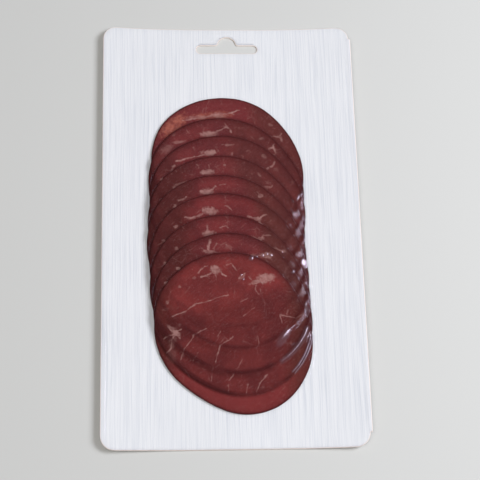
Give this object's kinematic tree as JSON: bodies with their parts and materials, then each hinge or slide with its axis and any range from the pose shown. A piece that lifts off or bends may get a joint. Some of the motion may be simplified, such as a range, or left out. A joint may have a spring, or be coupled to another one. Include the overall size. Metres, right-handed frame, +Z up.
{
  "type": "sliced smoked beef skin pack",
  "caption": "Flat skin pack of thin round smoked beef slices, shingled on a white board card with a hang hole under a clear tight film.",
  "frame": {"origin": "under the middle of the card, on the surface that the pack lies on", "axes": "+X across the card, +Y up the card towards the hang hole, +Z up through the slices"},
  "size_m": [0.13, 0.225, 0.0125],
  "materials": {
    "white_board": "satin white print with faint grey wood grain",
    "smoked_beef": "moist brownish red meat with a dark smoked rim and pale marbling",
    "clear_film": "clear gloss film"
  },
  "bodies": {
    "root": {"card": "white_board", "slice_1": "smoked_beef", "slice_2": "smoked_beef", "slice_3": "smoked_beef", "slice_4": "smoked_beef", "slice_5": "smoked_beef", "slice_6": "smoked_beef", "slice_7": "smoked_beef", "slice_8": "smoked_beef", "slice_9": "smoked_beef", "film": "clear_film"}
  },
  "joints": []
}
